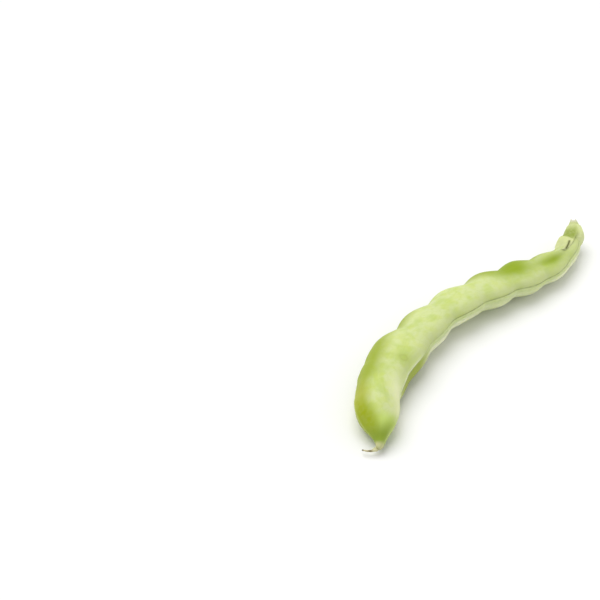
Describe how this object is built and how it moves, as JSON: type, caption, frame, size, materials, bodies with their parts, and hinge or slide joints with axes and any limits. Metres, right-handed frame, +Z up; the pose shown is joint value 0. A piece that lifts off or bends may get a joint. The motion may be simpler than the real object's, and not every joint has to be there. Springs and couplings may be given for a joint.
{
  "type": "broad bean pod",
  "caption": "Fresh green broad bean pod lying on its side: a long curved pod swollen over its beans, with seams, a beak, a calyx and a short stalk.",
  "frame": {"origin": "on the surface the pod lies on, under the middle of the pod's outline seen from above", "axes": "+X along the pod from the beak to the stalk, +Z up from the surface, +Y towards the outside of the pod's bend"},
  "size_m": [0.1733, 0.0406, 0.0157],
  "materials": {
    "pod_skin": "fresh green skin, satin with a faint bloom",
    "calyx_skin": "pale green, matt, thin and slightly dry",
    "stalk_skin": "green, matt, fibrous where it is cut",
    "dried_style": "dried brown thread, matt"
  },
  "bodies": {
    "root": {"pod": "pod_skin", "calyx": "calyx_skin", "stalk": "stalk_skin", "style": "dried_style"}
  },
  "joints": []
}
